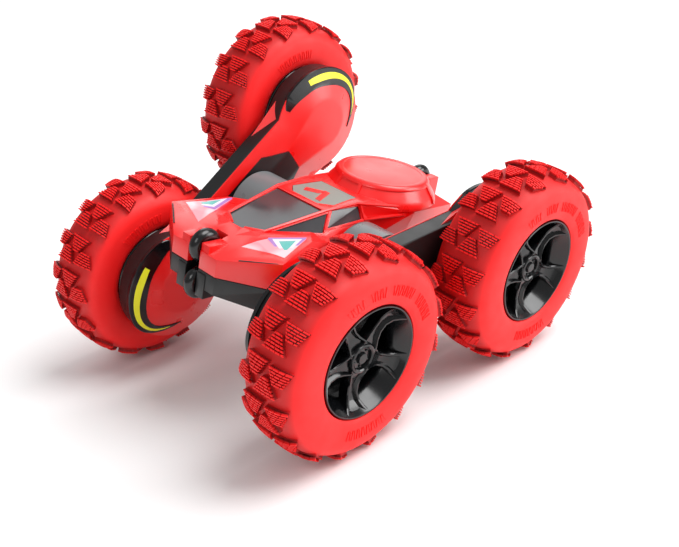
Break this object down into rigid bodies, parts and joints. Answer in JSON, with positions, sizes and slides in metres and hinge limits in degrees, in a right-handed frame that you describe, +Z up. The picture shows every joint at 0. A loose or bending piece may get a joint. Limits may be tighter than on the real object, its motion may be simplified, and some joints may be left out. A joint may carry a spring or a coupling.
{
  "type": "remote control stunt car",
  "caption": "Remote-control stunt car with a faceted body between swinging arms that carry geared, spoked wheels with treaded tyres.",
  "frame": {"origin": "on the floor, under the middle of the car's bounding box", "axes": "+X towards the nose, +Y to the car's left, +Z up from the floor. The car leans 11.6 degrees to its left, because its right arm is swung nose-down by 34 degrees and it stands on both left wheels and the front right one."},
  "size_m": [0.162, 0.158, 0.1234],
  "materials": {
    "red_shell": "glossy",
    "red_rubber": "matt",
    "black_shell": "satin",
    "black_gloss": "polished",
    "grey_pod": "satin",
    "smoked_window": "glossy",
    "clear_lens": "polished",
    "led": "polished",
    "white_nylon": "satin",
    "steel": "brushed",
    "motor_can": "satin",
    "battery_wrap": "glossy",
    "board_green": "satin",
    "yellow_stripe": "glossy"
  },
  "bodies": {
    "body": {"upper_shell": "red_shell", "lower_shell": "black_shell", "window_insert": "smoked_window", "roof_panel": "smoked_window", "battery_cover": "black_shell", "battery_pack": "battery_wrap", "circuit_board": "board_green", "headlight_lens_left": "clear_lens", "headlight_led_left": "led", "swing_motor_left": "motor_can", "headlight_lens_right": "clear_lens", "headlight_led_right": "led", "swing_motor_right": "motor_can", "roller_pin_front_upper": "steel", "roller_pin_front_lower": "steel", "roller_pin_rear_upper": "steel", "roller_pin_rear_lower": "steel"},
    "power_switch": {"power_switch": "white_nylon"},
    "arm_left": {"arm_base_left": "black_shell", "arm_cover_left": "red_shell", "arm_hub_cover_left": "black_shell", "motor_pod_left": "grey_pod", "drive_motor_left": "motor_can", "swing_gear_left": "white_nylon"},
    "drive_gear_left": {"drive_gear_left": "white_nylon"},
    "swing_pinion_left": {"swing_pinion_left": "steel"},
    "idler_gear_left_front": {"idler_gear_left_front": "white_nylon"},
    "wheel_left_front": {"tyre_left_front": "red_rubber", "rim_left_front": "black_gloss", "axle_left_front": "steel", "wheel_gear_left_front": "white_nylon"},
    "idler_gear_left_rear": {"idler_gear_left_rear": "white_nylon"},
    "wheel_left_rear": {"tyre_left_rear": "red_rubber", "rim_left_rear": "black_gloss", "axle_left_rear": "steel", "wheel_gear_left_rear": "white_nylon"},
    "arm_right": {"arm_base_right": "black_shell", "arm_cover_right": "red_shell", "arm_hub_cover_right": "black_shell", "motor_pod_right": "grey_pod", "drive_motor_right": "motor_can", "swing_gear_right": "white_nylon"},
    "drive_gear_right": {"drive_gear_right": "white_nylon"},
    "swing_pinion_right": {"swing_pinion_right": "steel"},
    "idler_gear_right_front": {"idler_gear_right_front": "white_nylon"},
    "wheel_right_front": {"tyre_right_front": "red_rubber", "rim_right_front": "black_gloss", "axle_right_front": "steel", "wheel_gear_right_front": "white_nylon"},
    "idler_gear_right_rear": {"idler_gear_right_rear": "white_nylon"},
    "wheel_right_rear": {"tyre_right_rear": "red_rubber", "rim_right_rear": "black_gloss", "axle_right_rear": "steel", "wheel_gear_right_rear": "white_nylon"},
    "roller_front_upper": {"roller_front_upper": "black_gloss"},
    "roller_front_lower": {"roller_front_lower": "black_gloss"},
    "roller_rear_upper": {"roller_rear_upper": "black_gloss"},
    "roller_rear_lower": {"roller_rear_lower": "black_gloss"}
  },
  "joints": [
    {"name": "arm_left_swing", "type": "hinge", "parent": "body", "child": "arm_left", "pos_m": [0, 0.02696, 0.04465], "axis": [0, 0.9795, -0.2015], "continuous": true},
    {"name": "wheel_left_rear_spin", "type": "hinge", "parent": "arm_left", "child": "wheel_left_rear", "pos_m": [-0.044, 0.06104, 0.03764], "axis": [0, 0.9795, -0.2015], "continuous": true},
    {"name": "wheel_left_front_spin", "type": "hinge", "parent": "arm_left", "child": "wheel_left_front", "pos_m": [0.044, 0.06104, 0.03764], "axis": [0, 0.9795, -0.2015], "continuous": true},
    {"name": "drive_gear_left_spin", "type": "hinge", "parent": "arm_left", "child": "drive_gear_left", "pos_m": [0, 0.04263, 0.04143], "axis": [0, 0.9795, -0.2015], "continuous": true},
    {"name": "idler_gear_left_front_spin", "type": "hinge", "parent": "arm_left", "child": "idler_gear_left_front", "pos_m": [0.022, 0.04263, 0.04143], "axis": [0, 0.9795, -0.2015], "continuous": true},
    {"name": "idler_gear_left_rear_spin", "type": "hinge", "parent": "arm_left", "child": "idler_gear_left_rear", "pos_m": [-0.022, 0.04263, 0.04143], "axis": [0, 0.9795, -0.2015], "continuous": true},
    {"name": "swing_pinion_left_spin", "type": "hinge", "parent": "body", "child": "swing_pinion_left", "pos_m": [0.01422, 0.01468, 0.04948], "axis": [0, 0.9795, -0.2015], "continuous": true},
    {"name": "arm_right_swing", "type": "hinge", "parent": "body", "child": "arm_right", "pos_m": [0, -0.02202, 0.05473], "axis": [0, 0.9795, -0.2015], "continuous": true},
    {"name": "wheel_right_rear_spin", "type": "hinge", "parent": "arm_right", "child": "wheel_right_rear", "pos_m": [-0.03648, -0.05115, 0.08584], "axis": [0, 0.9795, -0.2015], "continuous": true},
    {"name": "wheel_right_front_spin", "type": "hinge", "parent": "arm_right", "child": "wheel_right_front", "pos_m": [0.03648, -0.06106, 0.03764], "axis": [0, 0.9795, -0.2015], "continuous": true},
    {"name": "drive_gear_right_spin", "type": "hinge", "parent": "arm_right", "child": "drive_gear_right", "pos_m": [0, -0.03769, 0.05795], "axis": [0, 0.9795, -0.2015], "continuous": true},
    {"name": "idler_gear_right_front_spin", "type": "hinge", "parent": "arm_right", "child": "idler_gear_right_front", "pos_m": [0.01824, -0.04017, 0.0459], "axis": [0, 0.9795, -0.2015], "continuous": true},
    {"name": "idler_gear_right_rear_spin", "type": "hinge", "parent": "arm_right", "child": "idler_gear_right_rear", "pos_m": [-0.01824, -0.03521, 0.07], "axis": [0, 0.9795, -0.2015], "continuous": true},
    {"name": "swing_pinion_right_spin", "type": "hinge", "parent": "body", "child": "swing_pinion_right", "pos_m": [-0.01422, -0.00974, 0.0499], "axis": [0, 0.9795, -0.2015], "continuous": true},
    {"name": "roller_front_upper_spin", "type": "hinge", "parent": "body", "child": "roller_front_upper", "pos_m": [0.05262, 0.00547, 0.0643], "axis": [0, 0.9795, -0.2015], "continuous": true},
    {"name": "roller_front_lower_spin", "type": "hinge", "parent": "body", "child": "roller_front_lower", "pos_m": [0.05542, 0.00281, 0.05135], "axis": [0, 0.9795, -0.2015], "continuous": true},
    {"name": "roller_rear_upper_spin", "type": "hinge", "parent": "body", "child": "roller_rear_upper", "pos_m": [-0.05724, 0.0038, 0.05618], "axis": [0, 0.9795, -0.2015], "continuous": true},
    {"name": "roller_rear_lower_spin", "type": "hinge", "parent": "body", "child": "roller_rear_lower", "pos_m": [-0.05278, -0.00187, 0.02861], "axis": [0, 0.9795, -0.2015], "continuous": true},
    {"name": "power_switch_slide", "type": "slide", "parent": "body", "child": "power_switch", "axis": [0.9877, 0.0315, 0.1532], "range_m": [0, 0.003]}
  ],
  "couplings": [
    {"joint": "idler_gear_left_front_spin", "follows": "wheel_left_rear_spin", "ratio": -0.77778},
    {"joint": "idler_gear_left_rear_spin", "follows": "wheel_left_rear_spin", "ratio": -0.77778},
    {"joint": "wheel_left_front_spin", "follows": "wheel_left_rear_spin", "ratio": 1},
    {"joint": "drive_gear_left_spin", "follows": "wheel_left_rear_spin", "ratio": 1},
    {"joint": "swing_pinion_left_spin", "follows": "arm_left_swing", "ratio": -2.2},
    {"joint": "idler_gear_right_front_spin", "follows": "wheel_right_rear_spin", "ratio": -0.77778},
    {"joint": "idler_gear_right_rear_spin", "follows": "wheel_right_rear_spin", "ratio": -0.77778},
    {"joint": "wheel_right_front_spin", "follows": "wheel_right_rear_spin", "ratio": 1},
    {"joint": "drive_gear_right_spin", "follows": "wheel_right_rear_spin", "ratio": 1},
    {"joint": "swing_pinion_right_spin", "follows": "arm_right_swing", "ratio": -2.2}
  ]
}
